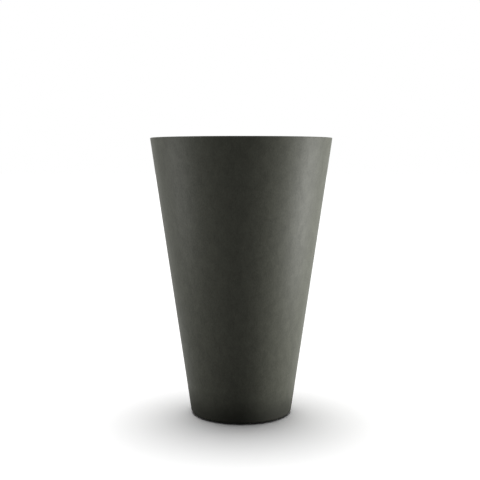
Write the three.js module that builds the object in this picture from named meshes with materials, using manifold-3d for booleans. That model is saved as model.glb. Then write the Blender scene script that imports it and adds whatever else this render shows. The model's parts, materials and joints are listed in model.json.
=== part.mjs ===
// Tall round tapered planter in glass-reinforced polyester, for standing on a floor.
// Millimetres, +Z up. The origin is on the floor, in the middle of the planter.
//
// The planter is a moulded laminate shell with a flat lip at the rim and a flange turned in at the
// foot. A stiffening ring is bonded under the lip. A floor panel is bonded onto the foot flange,
// with a bead of bonding paste round its edge and four drain holes, each closed by a rubber plug.
// Four rubber pads keep the foot off the floor, so that water can run away.
// A loose shelf drops down the taper until it wedges, so that only the top has to hold soil.

import * as THREE from "three";
import { mergeVertices } from "three/addons/utils/BufferGeometryUtils.js";
import Module from "manifold-3d";

// ---------------------------------------------------------------- driving dimensions

// Overall form
const OVERALL_HEIGHT = 700; // floor to the top of the rim
const RIM_RADIUS = 228; // wall's outer line, carried up to the top of the rim
const FOOT_RADIUS = 128; // wall's outer line, carried down to the underside of the foot
const LAMINATE = 5; // thickness of the moulded laminate

// Edges of the moulded shell
const FOOT_EDGE_RADIUS = 7; // outside, where the wall turns under
const RIM_EDGE_RADIUS = 1.5; // outside, where the wall meets the lip
const LIP_EDGE_RADIUS = 2; // inner edge of the lip
const INSIDE_FILLET = 5; // inside corners of the laminate
const LIP_WIDTH = 28; // rim's outer edge to the lip's inner edge
const FOOT_FLANGE_WIDTH = 34; // foot's outer line to the flange's inner edge

// Stiffening ring under the lip
const RETURN_THICKNESS = 4;
const RETURN_DEPTH = 38; // from the lip's underside down to the ring's lower edge
const RETURN_CLEARANCE = 1.2; // from the ring's bonded flange to the lip's inside corner

// Floor panel and its bead of bonding paste
const FLOOR_THICKNESS = 6;
const BEAD_HEIGHT = 17; // up the wall, from the panel's top
const BEAD_WIDTH = 11; // across the panel, from its edge inwards
const BOND_LINE = 0.3; // thickness of a glued joint

// Drain holes and plugs
const DRAIN_COUNT = 4;
const DRAIN_INSET = 38; // foot flange's inner edge to the drain holes' centres
const PLUG_STEM_RADIUS = 11;
const PLUG_CLEARANCE = 0.3; // between the stem and its hole
const PLUG_TIP_RADIUS = 9.6;
const PLUG_TIP_LENGTH = 5; // tapered end of the stem
const PLUG_BELOW_FLOOR = 2; // how far the tip passes the panel's underside
const PLUG_HEAD_RADIUS = 17;
const PLUG_HEAD_THICKNESS = 3.2;
const PLUG_HEAD_EDGE = 1.2;
const GRIP_WIDTH = 16; // tab on the head, for finger and thumb
const GRIP_THICKNESS = 4.5;
const GRIP_HEIGHT = 11;
const GRIP_CORNER = 4;
const SEAT_GAP = 0.3; // under a loose piece that rests on its seat

// Rubber pads under the foot
const PAD_COUNT = 4;
const PAD_HEIGHT = 2;
const PAD_RADIUS = 12;
const PAD_TREAD_RADIUS = 11; // narrower face, on the floor

// Shelf
const SHELF_DEPTH = 290; // from the top of the rim down to the shelf's top
const SHELF_PLATE = 5;
const SHELF_SKIRT_HEIGHT = 20; // shelf's top to the skirt's lower edge
const SHELF_SKIRT = 4; // skirt's thickness
const SHELF_CLEARANCE = 0.3; // between the skirt and the wall that it wedges against
const SHELF_EDGE_RADIUS = 2;
const SHELF_FILLET = 3; // inside, where the plate meets the skirt
const RIB_COUNT = 8;
const RIB_THICKNESS = 3;
const RIB_SHORT_OF_SKIRT = 3; // how far the ribs stop above the skirt's lower edge
const HUB_RADIUS = 18;
const FINGER_HOLE_RADIUS = 16;
const FINGER_HOLE_INSET = 67; // skirt to each finger hole's centre
const WEEP_HOLE_RADIUS = 4;
const WEEP_OUTER_INSET = 31; // skirt to the outer ring of weep holes, two holes between ribs
const WEEP_INNER_GAP = 42; // hub to the inner ring of weep holes, one hole between ribs

// Fineness of round shapes
const WIDE_STEPS = 72; // round the planter
const SMALL_STEPS = 24; // round a plug, a pad or a finger hole
const WEEP_STEPS = 12;
const ARC_STEPS = 4; // along a rounded edge

// ---------------------------------------------------------------- levels and wall lines

const footUnderside = PAD_HEIGHT + BOND_LINE;
const flangeTop = footUnderside + LAMINATE;
const lipUnderside = OVERALL_HEIGHT - LAMINATE;
const panelUnderside = flangeTop + BOND_LINE;
const panelTop = panelUnderside + FLOOR_THICKNESS;
const shelfTop = OVERALL_HEIGHT - SHELF_DEPTH;
const shelfUnderside = shelfTop - SHELF_PLATE;
const skirtBottom = shelfTop - SHELF_SKIRT_HEIGHT;

const wallSlope = (RIM_RADIUS - FOOT_RADIUS) / (OVERALL_HEIGHT - footUnderside);
const wallRun = LAMINATE * Math.hypot(1, wallSlope); // the wall's thickness, measured level
const lean = Math.atan(wallSlope);
const outerRadius = (z) => FOOT_RADIUS + wallSlope * (z - footUnderside);
const innerRadius = (z) => outerRadius(z) - wallRun;

// How far an inside fillet reaches from the corner of two faces that meet at this angle
const filletReach = (angle) => INSIDE_FILLET / Math.tan(angle / 2);

const lipInnerRadius = RIM_RADIUS - LIP_WIDTH;
const lipFlatRadius = innerRadius(lipUnderside) - filletReach(Math.PI / 2 - lean);
const flangeInnerRadius = FOOT_RADIUS - FOOT_FLANGE_WIDTH;
const flangeFlatRadius = innerRadius(flangeTop) - filletReach(Math.PI / 2 + lean);
const panelRadius = flangeFlatRadius - BOND_LINE;
const drainCircleRadius = flangeInnerRadius - DRAIN_INSET;
const padCircleRadius = (flangeInnerRadius + FOOT_RADIUS - FOOT_EDGE_RADIUS) / 2;

const skirtOuterRadius = (z) => innerRadius(z) - SHELF_CLEARANCE;
const skirtInnerRadius = (z) => skirtOuterRadius(z) - SHELF_SKIRT;
const shelfInside = skirtInnerRadius(shelfUnderside);
const ribStart = Math.PI / RIB_COUNT;

// ---------------------------------------------------------------- materials

const gelcoat = new THREE.MeshStandardMaterial({ color: "#45463f", roughness: 0.55, metalness: 0 });
const laminate = new THREE.MeshStandardMaterial({ color: "#2e2f2b", roughness: 0.7, metalness: 0 });
const paste = new THREE.MeshStandardMaterial({ color: "#383935", roughness: 0.8, metalness: 0 });
const rubber = new THREE.MeshStandardMaterial({ color: "#191918", roughness: 0.85, metalness: 0 });
const shelfPlastic = new THREE.MeshStandardMaterial({ color: "#242523", roughness: 0.6, metalness: 0 });

// ---------------------------------------------------------------- shape helpers

// A closed outline through corners [x, y, radius], each rounded by its own radius.
function roundedOutline(corners) {
  const points = corners.flatMap(([x, y, radius = 0], i) => {
    const corner = new THREE.Vector2(x, y);
    if (radius === 0) {
      return [corner];
    }
    const before = new THREE.Vector2(...corners.at(i - 1)).sub(corner).normalize();
    const after = new THREE.Vector2(...corners[(i + 1) % corners.length]).sub(corner).normalize();
    const halfAngle = Math.acos(before.dot(after)) / 2;
    const tangent = radius / Math.tan(halfAngle);
    const middle = before.clone().add(after).setLength(radius / Math.sin(halfAngle)).add(corner);
    const start = before.multiplyScalar(tangent).add(corner).sub(middle);
    const end = after.multiplyScalar(tangent).add(corner).sub(middle);
    const turn = Math.atan2(start.cross(end), start.dot(end));
    return Array.from({ length: ARC_STEPS + 1 }, (_, k) =>
      start.clone().rotateAround(new THREE.Vector2(), (turn * k) / ARC_STEPS).add(middle),
    );
  });
  return [...points, points[0]];
}

// Turns an outline of [radius, height] corners round the Z axis. Corners run anticlockwise.
function revolve(corners, steps) {
  return new THREE.LatheGeometry(roundedOutline(corners), steps).rotateX(Math.PI / 2);
}

// A disc or post on the Z axis.
function cylinder(radius, bottom, top, steps) {
  const height = top - bottom;
  return new THREE.CylinderGeometry(radius, radius, height, steps)
    .rotateX(Math.PI / 2)
    .translate(0, 0, bottom + height / 2);
}

// Angles of count copies spread round the Z axis, the first one at start.
function angles(count, start = 0) {
  return Array.from({ length: count }, (_, i) => start + (2 * Math.PI * i) / count);
}

function mesh(name, geometry, material) {
  const made = new THREE.Mesh(geometry, material);
  made.name = name;
  return made;
}

// ---------------------------------------------------------------- joining and cutting

const wasm = await Module();
wasm.setup();

function solid(geometry) {
  const bare = geometry.clone();
  bare.deleteAttribute("normal");
  bare.deleteAttribute("uv");
  const merged = mergeVertices(bare, 1e-4);
  return new wasm.Manifold(
    new wasm.Mesh({
      numProp: 3,
      vertProperties: new Float32Array(merged.attributes.position.array),
      triVerts: new Uint32Array(merged.index.array),
    }),
  );
}

function geometryOf(body) {
  const found = body.getMesh();
  return new THREE.BufferGeometry()
    .setAttribute("position", new THREE.BufferAttribute(found.vertProperties, 3))
    .setIndex(new THREE.BufferAttribute(found.triVerts, 1));
}

function join(first, ...others) {
  return others.reduce((sum, next) => sum.add(solid(next)), solid(first));
}

function cut(body, ...cutters) {
  return cutters.reduce((rest, next) => rest.subtract(solid(next)), body);
}

// ---------------------------------------------------------------- the pieces

// Moulded shell: wall, flat lip at the rim and flange turned in at the foot.
function outerShell() {
  const corners = [
    [flangeInnerRadius, footUnderside],
    [FOOT_RADIUS, footUnderside, FOOT_EDGE_RADIUS],
    [RIM_RADIUS, OVERALL_HEIGHT, RIM_EDGE_RADIUS],
    [lipInnerRadius, OVERALL_HEIGHT, LIP_EDGE_RADIUS],
    [lipInnerRadius, lipUnderside],
    [innerRadius(lipUnderside), lipUnderside, INSIDE_FILLET],
    [innerRadius(flangeTop), flangeTop, INSIDE_FILLET],
    [flangeInnerRadius, flangeTop],
  ];
  return mesh("outer_shell", revolve(corners, WIDE_STEPS), gelcoat);
}

// Angle-section ring bonded under the lip. It stiffens the rim and carries the lip's edge down.
function rimReturn() {
  const top = lipUnderside - BOND_LINE;
  const bottom = lipUnderside - RETURN_DEPTH;
  const legOuterRadius = lipInnerRadius + RETURN_THICKNESS;
  const flangeOuterRadius = lipFlatRadius - RETURN_CLEARANCE;
  const corners = [
    [lipInnerRadius, bottom],
    [legOuterRadius, bottom],
    [legOuterRadius, top - RETURN_THICKNESS],
    [flangeOuterRadius, top - RETURN_THICKNESS],
    [flangeOuterRadius, top],
    [lipInnerRadius, top],
  ];
  return mesh("rim_return", revolve(corners, WIDE_STEPS), gelcoat);
}

// Flat panel that closes the bottom, lying on the foot flange.
function floorPanel() {
  const disc = cylinder(panelRadius, panelUnderside, panelTop, WIDE_STEPS);
  const holeRadius = PLUG_STEM_RADIUS + PLUG_CLEARANCE;
  const below = panelUnderside - FLOOR_THICKNESS;
  const above = panelTop + FLOOR_THICKNESS;
  const holes = angles(DRAIN_COUNT).map((a) =>
    cylinder(holeRadius, below, above, SMALL_STEPS).translate(drainCircleRadius, 0, 0).rotateZ(a),
  );
  return mesh("floor_panel", geometryOf(cut(solid(disc), ...holes)), laminate);
}

// Hollow-faced bead of bonding paste in the corner between the floor panel and the wall.
function floorBead() {
  const bottom = panelTop + BOND_LINE;
  const top = panelTop + BEAD_HEIGHT;
  const inner = panelRadius - BEAD_WIDTH;
  const nearWall = (z) => innerRadius(z) - BOND_LINE;
  const hollow = new THREE.QuadraticBezierCurve(
    new THREE.Vector2(nearWall(top), top),
    new THREE.Vector2(nearWall(bottom) - BEAD_WIDTH / 2, bottom + BEAD_HEIGHT / 4),
    new THREE.Vector2(inner, bottom),
  );
  const corners = [
    [nearWall(bottom), bottom],
    ...hollow.getPoints(ARC_STEPS + 1).map((p) => [p.x, p.y]),
  ];
  return mesh("floor_bead", revolve(corners, WIDE_STEPS), paste);
}

// Rubber plug with a flat head, a tapered stem and a grip tab. Its head sits at z = 0.
function plugGeometry() {
  const tip = -(FLOOR_THICKNESS + PLUG_BELOW_FLOOR);
  const stemAndHead = revolve(
    [
      [0, tip],
      [PLUG_TIP_RADIUS, tip],
      [PLUG_STEM_RADIUS, tip + PLUG_TIP_LENGTH],
      [PLUG_STEM_RADIUS, SEAT_GAP],
      [PLUG_HEAD_RADIUS, SEAT_GAP],
      [PLUG_HEAD_RADIUS, SEAT_GAP + PLUG_HEAD_THICKNESS, PLUG_HEAD_EDGE],
      [0, SEAT_GAP + PLUG_HEAD_THICKNESS],
    ],
    SMALL_STEPS,
  );
  const half = GRIP_WIDTH / 2;
  const headTop = SEAT_GAP + PLUG_HEAD_THICKNESS;
  const crown = new THREE.Shape(
    roundedOutline([
      [-half, headTop - PLUG_HEAD_THICKNESS / 2],
      [half, headTop - PLUG_HEAD_THICKNESS / 2],
      [half, headTop + GRIP_HEIGHT, GRIP_CORNER],
      [-half, headTop + GRIP_HEIGHT, GRIP_CORNER],
    ]),
  );
  const grip = new THREE.ExtrudeGeometry(crown, { depth: GRIP_THICKNESS, bevelEnabled: false })
    .translate(0, 0, -GRIP_THICKNESS / 2)
    .rotateX(Math.PI / 2);
  return geometryOf(join(stemAndHead, grip));
}

function drainPlugs() {
  return angles(DRAIN_COUNT).map((a, i) => {
    const plug = mesh(`drain_plug_${i + 1}`, plugGeometry(), rubber);
    plug.rotation.z = a;
    plug.position.set(drainCircleRadius * Math.cos(a), drainCircleRadius * Math.sin(a), panelTop);
    return plug;
  });
}

// Rubber pads stuck under the foot flange, between the drain holes.
function footPads() {
  return angles(PAD_COUNT, Math.PI / PAD_COUNT).map((a, i) => {
    const shape = new THREE.CylinderGeometry(PAD_RADIUS, PAD_TREAD_RADIUS, PAD_HEIGHT, SMALL_STEPS);
    const pad = mesh(`foot_pad_${i + 1}`, shape.rotateX(Math.PI / 2), rubber);
    pad.position.set(padCircleRadius * Math.cos(a), padCircleRadius * Math.sin(a), PAD_HEIGHT / 2);
    return pad;
  });
}

// Stiffening ribs under the shelf, each running from the hub to the skirt.
function shelfRibs() {
  const bottom = skirtBottom + RIB_SHORT_OF_SKIRT;
  const height = shelfUnderside + SHELF_PLATE / 2 - bottom;
  return angles(RIB_COUNT, ribStart).map((a) =>
    new THREE.BoxGeometry(shelfInside, RIB_THICKNESS, height)
      .translate(shelfInside / 2, 0, bottom + height / 2)
      .rotateZ(a),
  );
}

// A ring of holes down through the shelf.
function holeRing(holeRadius, ringRadius, steps, places) {
  return places.map((a) =>
    cylinder(holeRadius, skirtBottom, shelfTop + SHELF_PLATE, steps)
      .translate(ringRadius, 0, 0)
      .rotateZ(a),
  );
}

// Weep holes between the ribs, a number of them in each bay, to drain the soil.
function weepRing(ringRadius, perBay) {
  const count = RIB_COUNT * perBay;
  const places = angles(count, ribStart + Math.PI / count);
  return holeRing(WEEP_HOLE_RADIUS, ringRadius, WEEP_STEPS, places);
}

// Removable shelf: a ribbed plate with a skirt that follows the taper and wedges against it.
// It has weep holes, and two finger holes to lift it by.
function shelf() {
  const dish = revolve(
    [
      [0, shelfUnderside],
      [shelfInside, shelfUnderside, SHELF_FILLET],
      [skirtInnerRadius(skirtBottom), skirtBottom],
      [skirtOuterRadius(skirtBottom), skirtBottom],
      [skirtOuterRadius(shelfTop), shelfTop, SHELF_EDGE_RADIUS],
      [0, shelfTop],
    ],
    WIDE_STEPS,
  );
  const hub = cylinder(HUB_RADIUS, skirtBottom + RIB_SHORT_OF_SKIRT, shelfTop, SMALL_STEPS);
  const body = cut(
    join(dish, hub, ...shelfRibs()),
    ...holeRing(FINGER_HOLE_RADIUS, shelfInside - FINGER_HOLE_INSET, SMALL_STEPS, angles(2)),
    ...weepRing(shelfInside - WEEP_OUTER_INSET, 2),
    ...weepRing(HUB_RADIUS + WEEP_INNER_GAP, 1),
  );
  return mesh("shelf", geometryOf(body), shelfPlastic);
}

// ---------------------------------------------------------------- the planter

const planter = new THREE.Group();
planter.add(
  outerShell(),
  rimReturn(),
  floorPanel(),
  floorBead(),
  ...drainPlugs(),
  ...footPads(),
  shelf(),
);

export default planter;
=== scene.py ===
"""Tall round tapered planter: finely modelled pieces and procedural finishes, round its CAD frame.

Sizes are in metres, +Z is up, and the origin is on the floor in the middle of the planter.
"""

import json
import math
from functools import cache

import bmesh
import bpy
from mathutils import Matrix, Vector

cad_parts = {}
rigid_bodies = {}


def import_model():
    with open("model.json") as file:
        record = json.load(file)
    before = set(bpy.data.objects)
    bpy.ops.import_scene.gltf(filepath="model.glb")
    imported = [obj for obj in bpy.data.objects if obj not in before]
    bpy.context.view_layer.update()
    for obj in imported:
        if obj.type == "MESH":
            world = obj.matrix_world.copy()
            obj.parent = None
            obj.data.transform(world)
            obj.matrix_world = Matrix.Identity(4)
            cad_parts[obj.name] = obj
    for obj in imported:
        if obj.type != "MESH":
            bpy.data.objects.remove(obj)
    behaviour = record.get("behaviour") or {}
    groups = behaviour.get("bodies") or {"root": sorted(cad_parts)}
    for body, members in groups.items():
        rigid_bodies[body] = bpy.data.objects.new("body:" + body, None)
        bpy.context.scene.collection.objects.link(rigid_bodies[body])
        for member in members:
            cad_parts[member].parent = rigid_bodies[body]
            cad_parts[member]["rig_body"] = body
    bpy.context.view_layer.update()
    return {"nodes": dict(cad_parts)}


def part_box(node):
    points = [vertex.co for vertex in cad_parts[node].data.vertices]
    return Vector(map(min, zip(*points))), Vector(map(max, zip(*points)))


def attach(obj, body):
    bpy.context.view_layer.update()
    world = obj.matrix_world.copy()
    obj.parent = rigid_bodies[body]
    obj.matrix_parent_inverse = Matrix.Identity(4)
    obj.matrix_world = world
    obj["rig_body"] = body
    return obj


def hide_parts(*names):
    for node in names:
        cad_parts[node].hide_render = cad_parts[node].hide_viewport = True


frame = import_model()

bl_info = {
    "name": "Tall Tapered Planter",
    "version": (1, 0, 0),
    "blender": (4, 5, 0),
    "location": "3D View > Sidebar > Planter",
    "description": "Models a tall tapered planter piece by piece, with its finishes and a studio",
    "category": "Add Mesh",
}

TOUCH = 0.00002  # two places closer than this are one place
MERGE = TOUCH / 4  # corners closer than this become one corner
WIDE_STEPS = 240  # round the planter
SMALL_STEPS = 48  # round a plug, a pad or a finger hole
WEEP_STEPS = 24  # round a weep hole
EDGE_STEPS = 5  # along a rounded edge
SOFT_STEPS = 2  # along an edge that is only softened
SMOOTH_BELOW = math.radians(32)  # faces that meet flatter than this shade as one surface
DRAIN_COUNT = 4  # drain holes, and the plugs in them


# ------------------------ what the user can change


def length(name, description, default):
    """A length that shows in the sidebar in the scene's own unit."""
    return bpy.props.FloatProperty(
        name=name,
        description=description,
        default=default,
        min=0.0,
        precision=4,
        subtype="DISTANCE",
        unit="LENGTH",
    )


def share(name, description, default):
    """A plain number from 0 to 1."""
    return bpy.props.FloatProperty(
        name=name, description=description, default=default, min=0.0, max=1.0, subtype="FACTOR"
    )


def colour(name, description, default):
    """A linear colour."""
    return bpy.props.FloatVectorProperty(
        name=name,
        description=description,
        default=default,
        size=3,
        min=0.0,
        max=1.0,
        subtype="COLOR",
    )


def power(name, description, default):
    """The power of a lamp, in watts."""
    return bpy.props.FloatProperty(
        name=name, description=description, default=default, min=0.0, subtype="POWER", unit="POWER"
    )


class PlanterSizes(bpy.types.PropertyGroup):
    """Sizes that the frame's boxes don't give."""

    rim_radius: length("Rim radius", "Outer line of the wall at the top of the rim", 0.228)
    foot_radius: length("Foot radius", "Outer line of the wall at the underside of the foot", 0.128)
    laminate: length("Laminate", "Thickness of the moulded laminate", 0.005)
    lip_width: length("Lip width", "Rim's outer edge to the lip's inner edge", 0.028)
    foot_flange_width: length("Foot flange", "Foot's outer line to the flange's inner edge", 0.034)
    rim_edge: length("Rim edge", "Rounding of the rim's outer edge", 0.0015)
    lip_edge: length("Lip edge", "Rounding of the lip's inner edge", 0.002)
    foot_edge: length("Foot edge", "Rounding where the wall turns under", 0.007)
    inside_fillet: length("Inside fillet", "Rounding of the laminate's inside corners", 0.005)
    return_thickness: length("Return thickness", "Thickness of the ring under the lip", 0.004)
    trimmed_edge: length("Trimmed edge", "Softening of a sanded laminate edge", 0.0006)
    bead_width: length("Bead width", "Bonding bead, across the floor panel", 0.011)
    drain_hole_radius: length("Drain hole", "Radius of each drain hole", 0.0113)
    plug_stem_radius: length("Plug stem", "Radius of a drain plug's stem", 0.011)
    plug_head_thickness: length("Plug head", "Thickness of a drain plug's head", 0.0032)
    plug_grip_thickness: length("Plug grip", "Thickness of a drain plug's grip tab", 0.0045)
    plug_grip_width: length("Plug grip width", "Width of a drain plug's grip tab", 0.016)
    pad_tread_radius: length("Pad tread", "Radius of a foot pad's tread", 0.011)
    shelf_plate: length("Shelf plate", "Thickness of the shelf's plate", 0.005)
    shelf_skirt: length("Shelf skirt", "Thickness of the shelf's skirt", 0.004)
    shelf_edge: length("Shelf edge", "Rounding of the shelf's top edge", 0.002)
    rib_thickness: length("Rib thickness", "Thickness of a rib under the shelf", 0.003)
    hub_radius: length("Hub radius", "Radius of the boss in the middle of the shelf", 0.018)
    finger_hole_radius: length("Finger hole", "Radius of each finger hole", 0.016)
    finger_hole_inset: length("Finger hole inset", "Skirt to a finger hole's centre", 0.067)
    weep_hole_radius: length("Weep hole", "Radius of each weep hole", 0.004)
    weep_outer_inset: length("Outer weep ring", "Skirt to the outer ring of weep holes", 0.031)
    weep_inner_gap: length("Inner weep ring", "Hub to the inner ring of weep holes", 0.042)


class PlanterFinish(bpy.types.PropertyGroup):
    """Colours and sheen of the finishes."""

    gelcoat: colour("Gelcoat", "Colour of the moulded outside", (0.0500, 0.0514, 0.0408))
    gelcoat_roughness: share("Gelcoat roughness", "0 is a mirror, 1 is chalk", 0.51)
    gelcoat_specular: share("Gelcoat specular", "Strength of the gelcoat's sheen", 0.09)
    # painted shade: the two settings below darken the gelcoat towards the foot, standing in for the
    # shade where it meets the floor
    painted_foot_shade: share("Painted foot shade", "How much darker the splashed foot is", 0.60)
    painted_foot_shade_height: length("Painted foot shade height", "How far up the film reaches", 0.085)
    mottling: share("Mottling", "How strongly the gelcoat's cloudy mottling shows", 0.24)
    laminate: colour("Laminate", "Colour of the bare laminate inside", (0.030, 0.031, 0.025))
    paste: colour("Bonding paste", "Colour of the bead round the floor", (0.040, 0.041, 0.035))
    rubber: colour("Rubber", "Colour of the plugs and pads", (0.012, 0.012, 0.011))
    shelf: colour("Shelf", "Colour of the moulded shelf", (0.020, 0.021, 0.019))
    dust: colour("Dust", "Colour of the fine dust on flat tops", (0.20, 0.18, 0.15))


class PlanterStudio(bpy.types.PropertyGroup):
    """Camera and lamps."""

    camera_distance: length("Camera distance", "Camera to the planter's axis, level", 2.1935)
    camera_height: length("Camera height", "Camera above the floor", 0.6530)
    camera_aside: length("Camera aside", "How far the camera stands left of the axis", 0.0030)
    camera_pitch: bpy.props.FloatProperty(
        name="Camera pitch",
        description="How far the camera looks down",
        default=math.radians(5.479),
        subtype="ANGLE",
        unit="ROTATION",
    )
    camera_lens: bpy.props.FloatProperty(
        name="Camera lens",
        description="Focal length on a 36 mm sensor",
        default=65.05,
        min=1.0,
        subtype="DISTANCE_CAMERA",
        unit="CAMERA",
    )
    right_power: power("Right box", "Softbox on the right", 33.7)
    low_power: power("Low box", "Low softbox, right of the camera", 3.9)
    left_power: power("Left box", "Softbox on the left", 10.9)
    top_strength: bpy.props.FloatProperty(
        name="Top light", description="Irradiance from overhead, in W/m2", default=3.05, min=0.0
    )
    ambient: share("Ambient", "Light from all round on matt surfaces", 0.10)
    backdrop: share("Backdrop", "Background white, as the camera and reflections see it", 1.0)
    floor_white: bpy.props.FloatProperty(
        name="Floor white",
        description="Paleness of the floor to the camera and to reflections",
        default=1.145,
        min=0.0,
    )
    floor_bounce: share("Floor bounce", "How pale the floor is to light that it passes on", 0.31)


# ------------------------ modelling by hand


def deselect_everything():
    """Goes back to object mode, with nothing selected."""
    if bpy.context.mode != "OBJECT":
        bpy.ops.object.mode_set(mode="OBJECT")
    bpy.ops.object.select_all(action="DESELECT")


def only(piece):
    """Selects one piece and nothing else."""
    deselect_everything()
    piece.select_set(True)
    bpy.context.view_layer.objects.active = piece


def name_and_place(name):
    """Names the primitive just added and puts its place into its mesh."""
    piece = bpy.context.object
    piece.name = piece.data.name = name
    bpy.ops.object.transform_apply(location=True, rotation=True, scale=True)
    return piece


def select_edges(piece, wanted):
    """In edit mode, selects the edges whose two ends pass a test."""
    bpy.ops.mesh.select_mode(type="EDGE")
    bpy.ops.mesh.select_all(action="DESELECT")
    mesh = bmesh.from_edit_mesh(piece.data)
    for edge in mesh.edges:
        edge.select_set(wanted([v.co for v in edge.verts]))
    bmesh.update_edit_mesh(piece.data)


def select_ring(piece, radius, height):
    """In edit mode, selects the edges that run round the axis at this radius and height."""

    def on_ring(ends):
        level = all(abs(end.z - height) < TOUCH for end in ends)
        return level and all(abs(end.xy.length - radius) < TOUCH for end in ends)

    select_edges(piece, on_ring)


def draw_out(outline):
    """In edit mode, extrudes the selected circle from corner to corner of an outline."""
    for (radius, height), (next_radius, next_height) in zip(outline, outline[1:]):
        rise = {"value": (0, 0, next_height - height)}
        bpy.ops.mesh.extrude_edges_move(TRANSFORM_OT_translate=rise)
        grow = next_radius / radius
        bpy.ops.transform.resize(value=(grow, grow, 1), center_override=(0, 0, 0))


def reach(corner, before, after, rounding):
    """How far a rounding of this radius reaches from the corner along its two faces."""
    corner = Vector(corner)
    angle = (Vector(before) - corner).angle(Vector(after) - corner)
    return rounding / math.tan(angle / 2)


def round_corners(piece, outline, roundings, solid):
    """Bevels the rings that lie on the outline's corners, each by its own radius."""
    last = len(outline) - 1
    for i, rounding in enumerate(roundings):
        if not rounding:
            continue
        corner = outline[i]
        on_axis = (0, corner[1])
        before = on_axis if solid and i == 0 else outline[i - 1]
        after = on_axis if solid and i == last else outline[(i + 1) % len(outline)]
        select_ring(piece, *corner)
        bpy.ops.mesh.bevel(
            offset=reach(corner, before, after, rounding),
            offset_type="OFFSET",
            segments=EDGE_STEPS,
            affect="EDGES",
        )


def turn(name, corners, steps=WIDE_STEPS, solid=False):
    """A ring or solid disc, drawn out from a circle along corners of (radius, height, rounding)."""
    outline = [(radius, height) for radius, height, _ in corners]
    radius, height = outline[0]
    deselect_everything()
    bpy.ops.mesh.primitive_circle_add(vertices=steps, radius=radius, location=(0, 0, height))
    piece = name_and_place(name)
    bpy.ops.object.mode_set(mode="EDIT")
    bpy.ops.mesh.select_mode(type="EDGE")
    bpy.ops.mesh.select_all(action="SELECT")
    draw_out(outline)
    if solid:
        for corner in (outline[0], outline[-1]):
            select_ring(piece, *corner)
            bpy.ops.mesh.edge_face_add()
    else:
        bpy.ops.mesh.select_all(action="DESELECT")
        bpy.ops.mesh.select_non_manifold()
        bpy.ops.mesh.bridge_edge_loops()
    round_corners(piece, outline, [rounding for _, _, rounding in corners], solid)
    bpy.ops.mesh.select_all(action="SELECT")
    bpy.ops.mesh.remove_doubles(threshold=MERGE)
    bpy.ops.mesh.normals_make_consistent(inside=False)
    bpy.ops.object.mode_set(mode="OBJECT")
    return piece


def post(name, radius, bottom, top, steps, place=(0, 0)):
    """A plain round post, to cut with or to join on."""
    deselect_everything()
    bpy.ops.mesh.primitive_cylinder_add(
        vertices=steps,
        radius=radius,
        depth=top - bottom,
        location=(*place, (top + bottom) / 2),
    )
    return name_and_place(name)


def join(name, pieces):
    """Makes one object of several that don't touch."""
    deselect_everything()
    for piece in pieces:
        piece.select_set(True)
    bpy.context.view_layer.objects.active = pieces[0]
    bpy.ops.object.join()
    pieces[0].name = name
    return pieces[0]


def apply_modifier(piece, kind, **settings):
    """Gives the piece a modifier with these settings and applies it."""
    only(piece)
    bpy.ops.object.modifier_add(type=kind)
    modifier = piece.modifiers[-1]
    for key, value in settings.items():
        setattr(modifier, key, value)
    bpy.ops.object.modifier_apply(modifier=modifier.name)


def combine(piece, operation, other):
    """Adds another solid to the piece, or cuts it away, and uses the other one up."""
    apply_modifier(piece, "BOOLEAN", operation=operation, solver="EXACT", object=other)
    bpy.data.objects.remove(other, do_unlink=True)


def soften(piece, width):
    """Rounds every sharp edge a little, as a mould or a sanding block does."""
    apply_modifier(
        piece,
        "BEVEL",
        width=width,
        segments=SOFT_STEPS,
        limit_method="ANGLE",
        angle_limit=SMOOTH_BELOW,
        use_clamp_overlap=True,
    )


def smooth(piece):
    """Shades the piece smooth, with its corners sharp."""
    only(piece)
    bpy.ops.object.shade_smooth_by_angle(angle=SMOOTH_BELOW)


def around(count, start=0.0):
    """Angles of count copies spread round the axis."""
    return [start + 2 * math.pi * i / count for i in range(count)]


def at(radius, angle):
    """The place at this radius and angle, as (x, y)."""
    return radius * math.cos(angle), radius * math.sin(angle)


def copies_round(piece, names):
    """Copies a piece in even steps round the axis, one for each name, each with its own mesh."""
    made = [piece]
    for name, angle in list(zip(names, around(len(names))))[1:]:
        copy = piece.copy()
        copy.data = piece.data.copy()
        copy.data.transform(Matrix.Rotation(angle, 4, "Z"))
        bpy.context.collection.objects.link(copy)
        copy.name = copy.data.name = name
        made.append(copy)
    piece.name = piece.data.name = names[0]
    return made


def dress(piece, node, slot, *materials):
    """Smooths a finished piece, gives it its finish, and lets it stand for its node and ride it."""
    smooth(piece)
    piece.data.materials.clear()
    for material in materials:
        piece.data.materials.append(material)
    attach(piece, frame["nodes"][node]["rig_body"])
    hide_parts(node)


def dress_copies(piece, node, count, slot, material):
    """Copies a rubber piece round the axis for each numbered node, and dresses them all."""
    nodes = [f"{node}_{i + 1}" for i in range(count)]
    for copy, name in zip(copies_round(piece, [f"{n}_rubber" for n in nodes]), nodes):
        dress(copy, name, slot, material)


# ------------------------ shader building blocks


def group(name, outputs, **numbers):
    """A node group that takes a Vector and these numbers, still empty, and its two end nodes."""
    tree = bpy.data.node_groups.new(name, "ShaderNodeTree")
    add = tree.interface.new_socket
    add(name="Vector", in_out="INPUT", socket_type="NodeSocketVector")
    for label, default in numbers.items():
        socket = add(name=label.replace("_", " "), in_out="INPUT", socket_type="NodeSocketFloat")
        socket.default_value = default
    for label in outputs:
        add(name=label, in_out="OUTPUT", socket_type="NodeSocketFloat")
    return tree, tree.nodes.new("NodeGroupInput"), tree.nodes.new("NodeGroupOutput")


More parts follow.
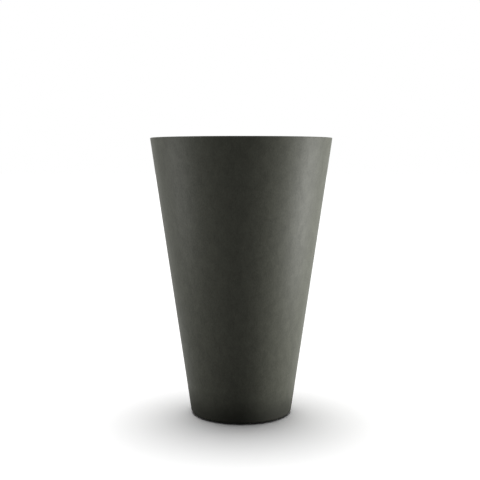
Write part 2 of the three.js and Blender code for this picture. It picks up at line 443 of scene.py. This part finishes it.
def node(tree, kind, settings=None, **inputs):
    """Adds a node. settings are its properties, and each input is a value or a socket to link from.

    An input is named, or is _ and its number.
    """
    made = tree.nodes.new(kind)
    for key, value in (settings or {}).items():
        setattr(made, key, value)
    for key, value in inputs.items():
        socket = made.inputs[int(key[1:])] if key[0] == "_" else made.inputs[key.replace("_", " ")]
        if isinstance(value, bpy.types.NodeSocket):
            tree.links.new(value, socket)
        else:
            socket.default_value = value
    return made


def maths(tree, operation, *values):
    """The result of a Math node."""
    inputs = {f"_{i}": value for i, value in enumerate(values)}
    return node(tree, "ShaderNodeMath", {"operation": operation}, **inputs).outputs[0]


def noise(tree, vector, scale, detail, roughness, distortion=0.0):
    """The value of a Noise node, from 0 to 1."""
    grain = {"Scale": scale, "Detail": detail, "Roughness": roughness, "Distortion": distortion}
    return node(tree, "ShaderNodeTexNoise", Vector=vector, **grain).outputs["Fac"]


def stretched(tree, value, low, high):
    """A value stretched so that low becomes 0 and high becomes 1."""
    return node(tree, "ShaderNodeMapRange", Value=value, From_Min=low, From_Max=high).outputs[0]


def multiplied(tree, vector, factors):
    """A vector, each part multiplied by its own factor."""
    settings = {"operation": "MULTIPLY"}
    return node(tree, "ShaderNodeVectorMath", settings, _0=vector, _1=factors).outputs[0]


def blend_colours(tree, factor, first, second):
    """The result of a Mix node between two colours. first may be a socket."""
    if not isinstance(first, bpy.types.NodeSocket):
        first = (*first, 1.0)
    second = (*second, 1.0)
    mix = node(tree, "ShaderNodeMix", {"data_type": "RGBA"}, _0=factor, _6=first, _7=second)
    return mix.outputs[2]


def scaled(value, amount):
    """A colour made lighter or darker."""
    return tuple(min(1.0, channel * amount) for channel in value)


def shaded(tree, shade, value, darkest, lightest):
    """A colour that runs from darker to lighter along a shade from 0 to 1."""
    return blend_colours(tree, shade, scaled(value, darkest), scaled(value, lightest))


@cache
def mottling_group():
    """Soft clouds, a little drawn out up and down, with a fine grain over them."""
    tree, start, end = group(
        "Cloudy Mottling", ("Shade", "Height"), Cloud_Size=0.018, Grain_Size=0.003, Grain_Share=0.35
    )
    upright = (1.0, 1.0, 0.6)
    drawn = multiplied(tree, start.outputs["Vector"], upright)
    cloud_scale = maths(tree, "DIVIDE", 1.0, start.outputs["Cloud Size"])
    clouds = noise(tree, drawn, cloud_scale, detail=3.0, roughness=0.55, distortion=0.4)
    grain_scale = maths(tree, "DIVIDE", 1.0, start.outputs["Grain Size"])
    grain = noise(tree, drawn, grain_scale, detail=2.0, roughness=0.6)
    mixed = node(
        tree,
        "ShaderNodeMix",
        {"data_type": "FLOAT"},
        _0=start.outputs["Grain Share"],
        _2=clouds,
        _3=grain,
    ).outputs[0]
    tree.links.new(stretched(tree, mixed, low=0.3, high=0.7), end.inputs["Shade"])
    tree.links.new(mixed, end.inputs["Height"])
    return tree


STRAND_TURNS = ((0.0, 0.0), (1.1, 0.4), (2.0, 1.2), (0.6, 2.2), (1.6, -0.8))  # about X and Y


@cache
def strand_group():
    """Chopped glass strands lying every way, as they print through bare laminate."""
    tree, start, end = group(
        "Chopped Strands", ("Shade", "Height"), Strand_Width=0.0012, Strand_Length=0.03
    )
    across = maths(tree, "DIVIDE", 1.0, start.outputs["Strand Width"])
    along = maths(tree, "DIVIDE", 1.0, start.outputs["Strand Length"])
    stretch = node(tree, "ShaderNodeCombineXYZ", X=across, Y=across, Z=along).outputs[0]
    total = None
    for turn_x, turn_y in STRAND_TURNS:
        turned = node(
            tree,
            "ShaderNodeVectorRotate",
            {"rotation_type": "EULER_XYZ"},
            Vector=start.outputs["Vector"],
            Rotation=(turn_x, turn_y, turn_x + turn_y),
        ).outputs[0]
        drawn = multiplied(tree, turned, stretch)
        strands = noise(tree, drawn, scale=1.0, detail=1.0, roughness=0.4)
        ridge = stretched(tree, strands, low=0.52, high=0.68)
        total = ridge if total is None else maths(tree, "MAXIMUM", total, ridge)
    tree.links.new(total, end.inputs["Shade"])
    tree.links.new(total, end.inputs["Height"])
    return tree


@cache
def dust_group():
    """Fine dust, only on what faces up, and patchy."""
    tree, start, end = group("Settled Dust", ("Mask",), Amount=0.3)
    normal = node(tree, "ShaderNodeNewGeometry").outputs["Normal"]
    up = node(tree, "ShaderNodeSeparateXYZ", Vector=normal).outputs["Z"]
    flat = stretched(tree, up, low=0.6, high=1.0)
    patches = noise(tree, start.outputs["Vector"], scale=22.0, detail=6.0, roughness=0.65)
    patchy = stretched(tree, patches, low=0.35, high=0.75)
    lying = maths(tree, "MULTIPLY", flat, patchy)
    mask = maths(tree, "MULTIPLY", lying, start.outputs["Amount"])
    tree.links.new(mask, end.inputs["Mask"])
    return tree


@cache
def foot_shade_group():
    """A mask of painted shade that darkens and dulls the foot, fading out unevenly as it goes up.
    """
    tree, start, end = group("Painted Foot Shade", ("Mask",), Height=0.085)
    height = node(tree, "ShaderNodeSeparateXYZ", Vector=start.outputs["Vector"]).outputs["Z"]
    ragged_edge = noise(tree, start.outputs["Vector"], scale=30.0, detail=4.0, roughness=0.6)
    average, raggedness = 0.5, 0.3
    reached = maths(tree, "DIVIDE", height, start.outputs["Height"])
    up_or_down = maths(tree, "SUBTRACT", ragged_edge, average)
    uneven = maths(tree, "ADD", reached, maths(tree, "MULTIPLY", up_or_down, raggedness))
    mask = node(
        tree,
        "ShaderNodeMapRange",
        {"interpolation_type": "SMOOTHSTEP"},
        Value=uneven,
        From_Min=0.05,
        From_Max=1.0,
        To_Min=1.0,
        To_Max=0.0,
    ).outputs[0]
    tree.links.new(mask, end.inputs["Mask"])
    return tree


def use(tree, group_tree, **inputs):
    """Places a node group in a material."""
    return node(tree, "ShaderNodeGroup", {"node_tree": group_tree}, **inputs)


def start_material(name):
    """A new material, its tree, its main shader, and the coordinates that every pattern reads."""
    material = bpy.data.materials.new(name)
    material.use_nodes = True
    tree = material.node_tree
    shader = tree.nodes["Principled BSDF"]
    place = tree.nodes.new("ShaderNodeTexCoord").outputs["Object"]
    return material, tree, shader, place


def bump(tree, shader, height, distance):
    """Raises the surface by the height socket, up to the distance given."""
    relief = node(tree, "ShaderNodeBump", Height=height, Distance=distance, Strength=1.0)
    tree.links.new(relief.outputs["Normal"], shader.inputs["Normal"])


def vary(tree, socket, shade, low, high):
    """Drives a number on the shader between two values by a shade from 0 to 1."""
    varied = node(tree, "ShaderNodeMapRange", Value=shade, To_Min=low, To_Max=high)
    tree.links.new(varied.outputs[0], socket)


# ------------------------ finishes

CLOUD_POLISH = 0.06  # how much smoother the gelcoat's palest clouds are than its darkest
FOOT_SHADE_DULLING = 0.25  # how much rougher the gelcoat is where shade is painted at the foot
FIBRE_SHOW = 0.55  # how clearly the strands show through the resin
FIBRE_PALENESS = 2.2  # against the resin's colour
RESIN_WAVES = 1.5  # height of the resin's waves against the strands'


@cache
def gelcoat():
    """Satin-matt dark gelcoat: faint clouds and a fine grain, in colour, sheen and relief, with
    painted shade that darkens and dulls it towards the foot.
    """
    finish = bpy.context.scene.planter_finish
    material, tree, shader, place = start_material("Gelcoat")
    mottle = use(tree, mottling_group(), Vector=place, Grain_Share=0.5)
    clouds = mottle.outputs["Shade"]
    clean = shaded(tree, clouds, finish.gelcoat, 1 - finish.mottling, 1 + finish.mottling)
    # painted shade: darker and rougher towards the foot, standing in for the shade where the
    # planter meets the floor
    shading = use(tree, foot_shade_group(), Vector=place, Height=finish.painted_foot_shade_height)
    shade_painted = scaled(finish.gelcoat, 1 - finish.painted_foot_shade)
    with_painted_shade = blend_colours(tree, shading.outputs["Mask"], clean, shade_painted)
    tree.links.new(with_painted_shade, shader.inputs["Base Color"])
    roughest = finish.gelcoat_roughness + CLOUD_POLISH / 2
    polish = maths(tree, "MULTIPLY", clouds, CLOUD_POLISH)
    dulled = maths(tree, "MULTIPLY", shading.outputs["Mask"], FOOT_SHADE_DULLING)
    roughness = maths(tree, "ADD", maths(tree, "SUBTRACT", roughest, polish), dulled)
    tree.links.new(roughness, shader.inputs["Roughness"])
    shader.inputs["Specular IOR Level"].default_value = finish.gelcoat_specular
    bump(tree, shader, mottle.outputs["Height"], distance=0.00012)
    return material


@cache
def bare_laminate():
    """Inside of the lay-up: resin over chopped glass strands that print through."""
    finish = bpy.context.scene.planter_finish
    material, tree, shader, place = start_material("Bare Laminate")
    strands = use(tree, strand_group(), Vector=place)
    mottle = use(tree, mottling_group(), Vector=place, Cloud_Size=0.03, Grain_Size=0.004)
    clouds = mottle.outputs["Shade"]
    resin = shaded(tree, clouds, finish.laminate, darkest=0.8, lightest=1.2)
    fibres = maths(tree, "MULTIPLY", strands.outputs["Shade"], FIBRE_SHOW)
    coloured = blend_colours(tree, fibres, resin, scaled(finish.laminate, FIBRE_PALENESS))
    tree.links.new(coloured, shader.inputs["Base Color"])
    vary(tree, shader.inputs["Roughness"], strands.outputs["Shade"], low=0.42, high=0.62)
    waves = maths(tree, "MULTIPLY", mottle.outputs["Height"], RESIN_WAVES)
    height = maths(tree, "ADD", strands.outputs["Height"], waves)
    bump(tree, shader, height, distance=0.0005)
    return material


def mottled_material(name, value, shades, roughness, relief, **grain):
    """A material whose colour, sheen and relief follow one mottling, with its grain's sizes."""
    material, tree, shader, place = start_material(name)
    mottle = use(tree, mottling_group(), Vector=place, **grain)
    base = shaded(tree, mottle.outputs["Shade"], value, *shades)
    tree.links.new(base, shader.inputs["Base Color"])
    vary(tree, shader.inputs["Roughness"], mottle.outputs["Shade"], *roughness)
    bump(tree, shader, mottle.outputs["Height"], relief)
    return material, tree, shader, place, base


@cache
def bonding_paste():
    """Dull paste, pulled smooth with a round tool."""
    material, *_ = mottled_material(
        "Bonding Paste",
        bpy.context.scene.planter_finish.paste,
        shades=(0.75, 1.25),
        roughness=(0.7, 0.88),
        relief=0.0004,
        Cloud_Size=0.012,
        Grain_Size=0.0015,
        Grain_Share=0.5,
    )
    return material


@cache
def stopper_rubber():
    """Soft black rubber with a slightly bloomed skin."""
    material, _, shader, *_ = mottled_material(
        "Stopper Rubber",
        bpy.context.scene.planter_finish.rubber,
        shades=(1.0, 1.9),
        roughness=(0.72, 0.9),
        relief=0.00012,
        Cloud_Size=0.006,
        Grain_Size=0.0006,
        Grain_Share=0.5,
    )
    shader.inputs["Specular IOR Level"].default_value = 0.35
    return material


@cache
def shelf_plastic():
    """Moulded polypropylene with a fine spark-eroded grain, and dust on its flat top."""
    finish = bpy.context.scene.planter_finish
    material, tree, shader, place, plastic = mottled_material(
        "Shelf Plastic",
        finish.shelf,
        shades=(0.85, 1.15),
        roughness=(0.5, 0.64),
        relief=0.0001,
        Cloud_Size=0.02,
        Grain_Size=0.0008,
        Grain_Share=0.7,
    )
    dust = use(tree, dust_group(), Vector=place, Amount=0.14)
    dusty = blend_colours(tree, dust.outputs["Mask"], plastic, finish.dust)
    tree.links.new(dusty, shader.inputs["Base Color"])
    return material


# ------------------------ lines of the wall


class Wall:
    """The wall's straight lines, outside and inside, and the levels that they run between."""

    def __init__(self, sizes):
        low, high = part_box("outer_shell")
        self.bottom, self.top = low.z, high.z
        self.flange_top = self.bottom + sizes.laminate
        self.lip_underside = self.top - sizes.laminate
        self.foot_radius = sizes.foot_radius
        self.slope = (sizes.rim_radius - sizes.foot_radius) / (self.top - self.bottom)
        self.run = sizes.laminate * math.hypot(1, self.slope)

    def outside(self, height):
        """Radius of the wall's outside at this height."""
        return self.foot_radius + self.slope * (height - self.bottom)

    def inside(self, height):
        """Radius of the wall's inside at this height."""
        return self.outside(height) - self.run


# ------------------------ pieces


class PlanterOperator(bpy.types.Operator):
    """Common to all the planter's operators."""

    bl_options = {"REGISTER", "UNDO"}

    @property
    def sizes(self):
        return bpy.context.scene.planter_sizes


class PLANTER_OT_moulded_shell(PlanterOperator):
    """Model the moulded shell: wall, flat lip at the rim and flange turned in at the foot"""

    bl_idname = "planter.moulded_shell"
    bl_label = "Moulded Shell"

    def execute(self, context):
        sizes = self.sizes
        wall = Wall(sizes)
        lip_radius = sizes.rim_radius - sizes.lip_width
        flange_radius = sizes.foot_radius - sizes.foot_flange_width
        shell = turn(
            "moulded_shell",
            [
                (flange_radius, wall.bottom, sizes.trimmed_edge),
                (sizes.foot_radius, wall.bottom, sizes.foot_edge),
                (sizes.rim_radius, wall.top, sizes.rim_edge),
                (lip_radius, wall.top, sizes.lip_edge),
                (lip_radius, wall.lip_underside, sizes.trimmed_edge),
                (wall.inside(wall.lip_underside), wall.lip_underside, sizes.inside_fillet),
                (wall.inside(wall.flange_top), wall.flange_top, sizes.inside_fillet),
                (flange_radius, wall.flange_top, sizes.trimmed_edge),
            ],
        )
        dress(shell, "outer_shell", "gelcoat_shell", gelcoat(), bare_laminate())
        half_laminate = sizes.laminate / 2
        for face in shell.data.polygons:
            radius, height = face.center.xy.length, face.center.z
            within_wall = radius < wall.outside(height) - half_laminate
            below_lip = height < wall.lip_underside + TOUCH
            above_foot = height > wall.flange_top - TOUCH
            if within_wall and below_lip and above_foot:
                face.material_index = 1
        return {"FINISHED"}


class PLANTER_OT_rim_return(PlanterOperator):
    """Model the angle-section ring that is bonded under the lip"""

    bl_idname = "planter.rim_return"
    bl_label = "Rim Return"

    def execute(self, context):
        sizes = self.sizes
        low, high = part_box("rim_return")
        inner = sizes.rim_radius - sizes.lip_width
        thick = sizes.return_thickness
        ring = turn(
            "rim_return_ring",
            [
                (inner, low.z, sizes.rim_edge),
                (inner + thick, low.z, sizes.trimmed_edge),
                (inner + thick, high.z - thick, sizes.trimmed_edge),
                (high.x, high.z - thick, sizes.trimmed_edge),
                (high.x, high.z, sizes.trimmed_edge),
                (inner, high.z, sizes.trimmed_edge),
            ],
        )
        dress(ring, "rim_return", "gelcoat_shell", gelcoat())
        return {"FINISHED"}


def drain_circle_radius():
    """How far the middle of each drain plug stands from the axis."""
    low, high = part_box("drain_plug_1")
    return (low.x + high.x) / 2


class PLANTER_OT_floor_panel(PlanterOperator):
    """Model the floor panel, with its drain holes"""

    bl_idname = "planter.floor_panel"
    bl_label = "Floor Panel"

    def execute(self, context):
        sizes = self.sizes
        low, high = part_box("floor_panel")
        panel = turn(
            "floor_panel_disc",
            [(high.x, low.z, sizes.trimmed_edge), (high.x, high.z, sizes.trimmed_edge)],
            solid=True,
        )
        thickness = high.z - low.z
        bottom, top = low.z - thickness, high.z + thickness
        radius, ring = sizes.drain_hole_radius, drain_circle_radius()
        holes = [
            post("drain_hole", radius, bottom, top, SMALL_STEPS, at(ring, angle))
            for angle in around(DRAIN_COUNT)
        ]
        combine(panel, "DIFFERENCE", join("drain_holes", holes))
        dress(panel, "floor_panel", "bare_laminate", bare_laminate())
        return {"FINISHED"}


class PLANTER_OT_floor_bead(PlanterOperator):
    """Model the hollow-faced bead of bonding paste round the floor panel, with its tool marks"""

    bl_idname = "planter.floor_bead"
    bl_label = "Floor Bead"

    FACE_STEPS = 7  # down the hollow face
    TOOL_MARK = 0.0007  # how far the tool wandered, in or out
    TOOL_STROKE = 0.03  # length of its strokes
    HOLLOW = (0.5, 0.25)  # where the face bends most, as shares of the bead's width and height

    def execute(self, context):
        sizes = self.sizes
        wall = Wall(sizes)
        low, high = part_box("floor_bead")
        outer_gap = wall.inside(high.z) - high.x
        outer_low = wall.inside(low.z) - outer_gap
        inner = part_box("floor_panel")[1].x - sizes.bead_width
        across, up = self.HOLLOW
        start, end = Vector((high.x, high.z)), Vector((inner, low.z))
        bend = Vector((outer_low - across * sizes.bead_width, low.z + up * (high.z - low.z)))
        face = []
        for i in range(self.FACE_STEPS + 1):
            t = i / self.FACE_STEPS
            point = start * (1 - t) ** 2 + bend * 2 * t * (1 - t) + end * t**2
            face.append((point.x, point.y, 0))
        bead = turn("bonding_bead", [(outer_low, low.z, 0), *face])
        self.mark(bead, low.z)
        dress(bead, "floor_bead", "bonding_paste", bonding_paste())
        return {"FINISHED"}

    def mark(self, bead, bottom):
        """Pushes the hollow face in and out where the tool wandered."""
        wall = Wall(self.sizes)
        edge_gap = 2 * self.TOOL_MARK
        worked = [
            v.index
            for v in bead.data.vertices
            if v.co.z > bottom + edge_gap and v.co.xy.length < wall.inside(v.co.z) - edge_gap
        ]
        bead.vertex_groups.new(name="Tooled Face").add(worked, 1.0, "REPLACE")
        strokes = bpy.data.textures.new("Tool Strokes", "CLOUDS")
        strokes.noise_scale = self.TOOL_STROKE
        apply_modifier(
            bead,
            "DISPLACE",
            texture=strokes,
            texture_coords="LOCAL",
            strength=-2 * self.TOOL_MARK,
            mid_level=0.0,
            vertex_group="Tooled Face",
        )


class PLANTER_OT_drain_plugs(PlanterOperator):
    """Model one rubber drain plug and copy it into each drain hole"""

    bl_idname = "planter.drain_plugs"
    bl_label = "Drain Plugs"

    SEAL_STEPS = 5  # sealing ribs and the hollows between them, in turn, up the stem
    SEAL_DEPTH = 0.0006  # depth of those hollows
    SEAL_FLAT = (0.15, 0.85)  # where each one's flat starts and ends, as shares of its height
    TIP_LENGTH = 0.005
    TIP_RADIUS = 0.0096
    TIP_ROUNDING = 0.0008
    HEAD_GAP = 0.0003  # between the head and the floor panel
    HEAD_LOWER_ROUNDING = 0.0005
    HEAD_UPPER_ROUNDING = 0.0012
    GROOVE = 0.0007  # depth and half width of the ring sunk in the head
    GROOVE_AT = 0.86  # its radius, as a share of the head's
    GRIP_CORNER = 0.004
    EDGE = 0.0004  # softening of every other edge

    def execute(self, context):
        sizes = self.sizes
        low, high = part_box("drain_plug_1")
        centre = drain_circle_radius()
        head_radius = high.x - centre
        under_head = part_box("floor_panel")[1].z + self.HEAD_GAP
        plug = self.stem_and_head(sizes, low.z, under_head, head_radius)
        grip = self.grip(sizes, under_head + sizes.plug_head_thickness, high.z)
        combine(plug, "UNION", grip)
        soften(plug, self.EDGE)
        plug.data.transform(Matrix.Translation((centre, 0, 0)))
        dress_copies(plug, "drain_plug", DRAIN_COUNT, "stopper_rubber", stopper_rubber())
        return {"FINISHED"}

    def stem_and_head(self, sizes, tip, under_head, head_radius):
        """The turned body of the plug: sealing ribs below, and a ring sunk in the head."""
        stem = sizes.plug_stem_radius
        rib_foot = tip + self.TIP_LENGTH
        rib = (under_head - rib_foot) / self.SEAL_STEPS
        ribs = []
        for i in range(self.SEAL_STEPS):
            hollow = self.SEAL_DEPTH if i % 2 else 0.0
            ribs += [(stem - hollow, rib_foot + (i + end) * rib, 0) for end in self.SEAL_FLAT]
        top = under_head + sizes.plug_head_thickness
        ring = head_radius * self.GROOVE_AT
        return turn(
            "drain_plug",
            [
                (self.TIP_RADIUS, tip, self.TIP_ROUNDING),
                *ribs,
                (stem, under_head, 0),
                (head_radius, under_head, self.HEAD_LOWER_ROUNDING),
                (head_radius, top, self.HEAD_UPPER_ROUNDING),
                (ring + self.GROOVE, top, 0),
                (ring, top - self.GROOVE, 0),
                (ring - self.GROOVE, top, 0),
            ],
            SMALL_STEPS,
            solid=True,
        )

    def grip(self, sizes, head_top, top):
        """The tab that is pulled, rooted in the head, with rounded upper corners."""
        deselect_everything()
        root = head_top - sizes.plug_head_thickness / 2
        bpy.ops.mesh.primitive_cube_add(
            size=1,
            location=(0, 0, (root + top) / 2),
            scale=(sizes.plug_grip_width, sizes.plug_grip_thickness, top - root),
        )
        grip = name_and_place("plug_grip")

        def across_top(ends):
            upper = all(abs(end.z - top) < TOUCH for end in ends)
            return upper and abs(ends[0].x - ends[1].x) < TOUCH

        bpy.ops.object.mode_set(mode="EDIT")
        select_edges(grip, across_top)
        bpy.ops.mesh.bevel(offset=self.GRIP_CORNER, segments=EDGE_STEPS, affect="EDGES")
        bpy.ops.object.mode_set(mode="OBJECT")
        return grip


class PLANTER_OT_foot_pads(PlanterOperator):
    """Model one rubber foot pad and copy it to the others' places"""

    bl_idname = "planter.foot_pads"
    bl_label = "Foot Pads"

    COUNT = 4
    DIMPLE_RADIUS = 0.005  # moulded hollow in the tread, at its mouth
    DIMPLE_FLOOR = 0.7  # its radius at the bottom, as a share of that
    DIMPLE_DEPTH = 0.0012
    TREAD_ROUNDING = 0.0007
    SMALL_ROUNDING = 0.0003

    def execute(self, context):
        sizes = self.sizes
        low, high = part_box("foot_pad_1")
        radius = (high.x - low.x) / 2
        pad = turn(
            "foot_pad",
            [
                (self.DIMPLE_RADIUS * self.DIMPLE_FLOOR, low.z + self.DIMPLE_DEPTH, 0),
                (self.DIMPLE_RADIUS, low.z, self.SMALL_ROUNDING),
                (sizes.pad_tread_radius, low.z, self.TREAD_ROUNDING),
                (radius, high.z, self.SMALL_ROUNDING),
            ],
            SMALL_STEPS,
            solid=True,
        )
        pad.data.transform(Matrix.Translation(((low.x + high.x) / 2, (low.y + high.y) / 2, 0)))
        dress_copies(pad, "foot_pad", self.COUNT, "stopper_rubber", stopper_rubber())
        return {"FINISHED"}


class PLANTER_OT_shelf(PlanterOperator):
    """Model the lift-out shelf: ribbed plate, skirt, hub, finger holes and weep holes"""

    bl_idname = "planter.shelf"
    bl_label = "Shelf"

    RIBS = 8
    FIRST_RIB = math.pi / RIBS  # angle at which the first one lies
    RIB_SHORT = 0.003  # how far the ribs stop above the skirt's lower edge
    HUB_STEP = 0.0005  # how far the hub stands out below the ribs
    INSIDE_FILLET = 0.003
    CLEARANCE = 0.0003  # between the skirt and the wall
    FINGER_HOLES = 2

    def execute(self, context):
        sizes = self.sizes
        wall = Wall(sizes)
        low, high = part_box("shelf")
        underside = high.z - sizes.shelf_plate

        def outer(height):
            return wall.inside(height) - self.CLEARANCE

        def inner(height):
            return outer(height) - sizes.shelf_skirt

        self.inside = inner(underside)
        self.rib_foot = low.z + self.RIB_SHORT
        shelf = turn(
            "lift_out_shelf",
            [
                (inner(underside), underside, self.INSIDE_FILLET),
                (inner(low.z), low.z, sizes.trimmed_edge),
                (outer(low.z), low.z, sizes.trimmed_edge),
                (outer(high.z), high.z, sizes.shelf_edge),
            ],
            solid=True,
        )
        hub_foot = self.rib_foot - self.HUB_STEP
        hub = post("hub", sizes.hub_radius, hub_foot, high.z - TOUCH, SMALL_STEPS)
        combine(shelf, "UNION", hub)
        within_plate = (high.z + underside) / 2
        for angle in around(self.RIBS, self.FIRST_RIB)[: self.RIBS // 2]:
            combine(shelf, "UNION", self.rib(sizes, angle, within_plate))
        combine(shelf, "DIFFERENCE", self.holes(sizes, low.z, high.z))
        dress(shelf, "shelf", "shelf_plastic", shelf_plastic())
        return {"FINISHED"}

    def rib(self, sizes, angle, top):
        """Two opposite ribs, as one bar right across the shelf and through the hub."""
        deselect_everything()
        bpy.ops.mesh.primitive_cube_add(
            size=1,
            location=(0, 0, (self.rib_foot + top) / 2),
            rotation=(0, 0, angle),
            scale=(2 * self.inside, sizes.rib_thickness, top - self.rib_foot),
        )
        return name_and_place("rib")

    def holes(self, sizes, bottom, top):
        """Everything that is cut down through the shelf."""
        bottom, top = bottom - sizes.shelf_plate, top + sizes.shelf_plate
        cuts = []

        def cut(name, radius, steps, ring, angles):
            cuts.extend(post(name, radius, bottom, top, steps, at(ring, angle)) for angle in angles)

        finger_circle = self.inside - sizes.finger_hole_inset
        fingers = around(self.FINGER_HOLES)
        cut("finger_hole", sizes.finger_hole_radius, SMALL_STEPS, finger_circle, fingers)
        rings = (
            (self.inside - sizes.weep_outer_inset, 2 * self.RIBS),
            (sizes.hub_radius + sizes.weep_inner_gap, self.RIBS),
        )
        for ring, count in rings:
            between_ribs = around(count, self.FIRST_RIB + math.pi / count)
            cut("weep_hole", sizes.weep_hole_radius, WEEP_STEPS, ring, between_ribs)
        return join("shelf_holes", cuts)


# ------------------------ studio


def seen_directly(tree):
    """1 for rays from the camera, a reflection or glass, and 0 for light on matt surfaces."""
    path = node(tree, "ShaderNodeLightPath")
    seen = maths(tree, "MAXIMUM", path.outputs["Is Camera Ray"], path.outputs["Is Glossy Ray"])
    return maths(tree, "MAXIMUM", seen, path.outputs["Is Transmission Ray"])


def studio_floor_material(bounce, white):
    """White paper that passes on less light than it shows."""
    material, tree, shader, _ = start_material("Studio Floor")
    paper = blend_colours(tree, seen_directly(tree), (bounce,) * 3, (white,) * 3)
    tree.links.new(paper, shader.inputs["Base Color"])
    shader.inputs["Roughness"].default_value = 1.0
    shader.inputs["Specular IOR Level"].default_value = 0.0
    return material


class PLANTER_OT_studio(PlanterOperator):
    """Set up the floor, the background, the lamps and the camera"""

    bl_idname = "planter.studio"
    bl_label = "Studio"

    FLOOR_HALF = 30.0  # half its width
    BOX_DISTANCE = 1.2  # from the planter's axis
    RIGHT_BOX = ((-0.35, 0.25), (0.0, 0.8))  # from front to back, and from bottom to top
    LOW_BOX = ((-0.95, -0.35), (0.0, 0.35))
    LEFT_BOX = ((-0.5, 0.1), (0.15, 0.8))
    TOP_LEAN = math.radians(8)  # the overhead light comes from a little behind
    TOP_SPREAD = math.radians(42)
    SENSOR_WIDTH = 36.0  # in millimetres, as the lens is

    def execute(self, context):
        studio = context.scene.planter_studio
        floor = self.floor(studio)
        self.background(studio)
        off_floor = self.off_floor(floor)
        self.softbox("Right Softbox", 1, self.RIGHT_BOX, studio.right_power, off_floor)
        self.softbox("Low Softbox", 1, self.LOW_BOX, studio.low_power, off_floor)
        self.softbox("Left Softbox", -1, self.LEFT_BOX, studio.left_power, off_floor)
        self.overhead(studio)
        self.camera(studio)
        context.scene.view_settings.view_transform = "Standard"
        return {"FINISHED"}

    def floor(self, studio):
        """A wide white floor that is part of the stage."""
        deselect_everything()
        bpy.ops.mesh.primitive_plane_add(size=2 * self.FLOOR_HALF)
        floor = name_and_place("studio_floor")
        paper = studio_floor_material(studio.floor_bounce, studio.floor_white)
        floor.data.materials.append(paper)
        return floor

    def background(self, studio):
        """White for the camera and reflections, and a faint even light for matt surfaces."""
        world = bpy.data.worlds.new("Studio")
        world.use_nodes = True
        tree = world.node_tree
        white = (studio.backdrop,) * 3
        ambient = (studio.ambient,) * 3
        sky = blend_colours(tree, seen_directly(tree), ambient, white)
        tree.links.new(sky, tree.nodes["Background"].inputs["Color"])
        bpy.context.scene.world = world

    def off_floor(self, floor):
        """What a lamp may light when it must leave the floor's shadow alone: all but the floor."""
        lit = bpy.data.collections.new("All But The Floor")
        lit.objects.link(floor)
        lit.collection_objects[0].light_linking.link_state = "EXCLUDE"
        return lit

    def softbox(self, name, side, extent, power, lit):
        """An upright softbox, square to the planter, on its right (1) or its left (-1)."""
        (front, back), (bottom, top) = extent
        lamp = bpy.data.lights.new(name, "AREA")
        lamp.shape = "RECTANGLE"
        lamp.size = back - front
        lamp.size_y = top - bottom
        lamp.energy = power
        holder = bpy.data.objects.new(name, lamp)
        holder.location = (side * self.BOX_DISTANCE, (front + back) / 2, (bottom + top) / 2)
        holder.rotation_euler = Vector((side, 0, 0)).to_track_quat("Z", "Y").to_euler()
        holder.visible_camera = False
        holder.light_linking.receiver_collection = lit
        bpy.context.collection.objects.link(holder)

    def overhead(self, studio):
        """A broad soft light from overhead, which draws the shadow round the foot."""
        lamp = bpy.data.lights.new("Overhead", "SUN")
        lamp.energy = studio.top_strength
        lamp.angle = self.TOP_SPREAD
        holder = bpy.data.objects.new("Overhead", lamp)
        holder.rotation_euler = (-self.TOP_LEAN, 0, 0)
        bpy.context.collection.objects.link(holder)

    def camera(self, studio):
        """The camera, at the photograph's viewing angle."""
        data = bpy.data.cameras.new("Camera")
        data.sensor_width = self.SENSOR_WIDTH
        data.lens = studio.camera_lens
        camera = bpy.data.objects.new("Camera", data)
        camera.location = (-studio.camera_aside, -studio.camera_distance, studio.camera_height)
        camera.rotation_euler = (math.pi / 2 - studio.camera_pitch, 0, 0)
        bpy.context.collection.objects.link(camera)
        bpy.context.scene.camera = camera


# ------------------------ sidebar and registration

PIECES = (
    PLANTER_OT_moulded_shell,
    PLANTER_OT_rim_return,
    PLANTER_OT_floor_panel,
    PLANTER_OT_floor_bead,
    PLANTER_OT_drain_plugs,
    PLANTER_OT_foot_pads,
    PLANTER_OT_shelf,
    PLANTER_OT_studio,
)
GROUPS = {
    "planter_sizes": PlanterSizes,
    "planter_finish": PlanterFinish,
    "planter_studio": PlanterStudio,
}


class PLANTER_PT_sidebar(bpy.types.Panel):
    """Lists the planter's pieces and what can be changed about them"""

    bl_label = "Tall Tapered Planter"
    bl_idname = "PLANTER_PT_sidebar"
    bl_space_type = "VIEW_3D"
    bl_region_type = "UI"
    bl_category = "Planter"

    def draw(self, context):
        for piece in PIECES:
            self.layout.operator(piece.bl_idname)
        for attribute in GROUPS:
            settings = getattr(context.scene, attribute)
            box = self.layout.box()
            for name in settings.bl_rna.properties.keys():
                if name not in {"rna_type", "name"}:
                    box.prop(settings, name)


def register():
    """Makes the classes known, and gives every scene its settings."""
    for group_class in GROUPS.values():
        bpy.utils.register_class(group_class)
    for attribute, group_class in GROUPS.items():
        setattr(bpy.types.Scene, attribute, bpy.props.PointerProperty(type=group_class))
    for operator in PIECES:
        bpy.utils.register_class(operator)
    bpy.utils.register_class(PLANTER_PT_sidebar)


def unregister():
    """Takes back all that register did."""
    bpy.utils.unregister_class(PLANTER_PT_sidebar)
    for operator in reversed(PIECES):
        bpy.utils.unregister_class(operator)
    for attribute, group_class in reversed(GROUPS.items()):
        delattr(bpy.types.Scene, attribute)
        bpy.utils.unregister_class(group_class)


def main():
    """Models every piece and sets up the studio."""
    register()
    bpy.ops.planter.moulded_shell()
    bpy.ops.planter.rim_return()
    bpy.ops.planter.floor_panel()
    bpy.ops.planter.floor_bead()
    bpy.ops.planter.drain_plugs()
    bpy.ops.planter.foot_pads()
    bpy.ops.planter.shelf()
    bpy.ops.planter.studio()


if __name__ == "__main__":
    main()
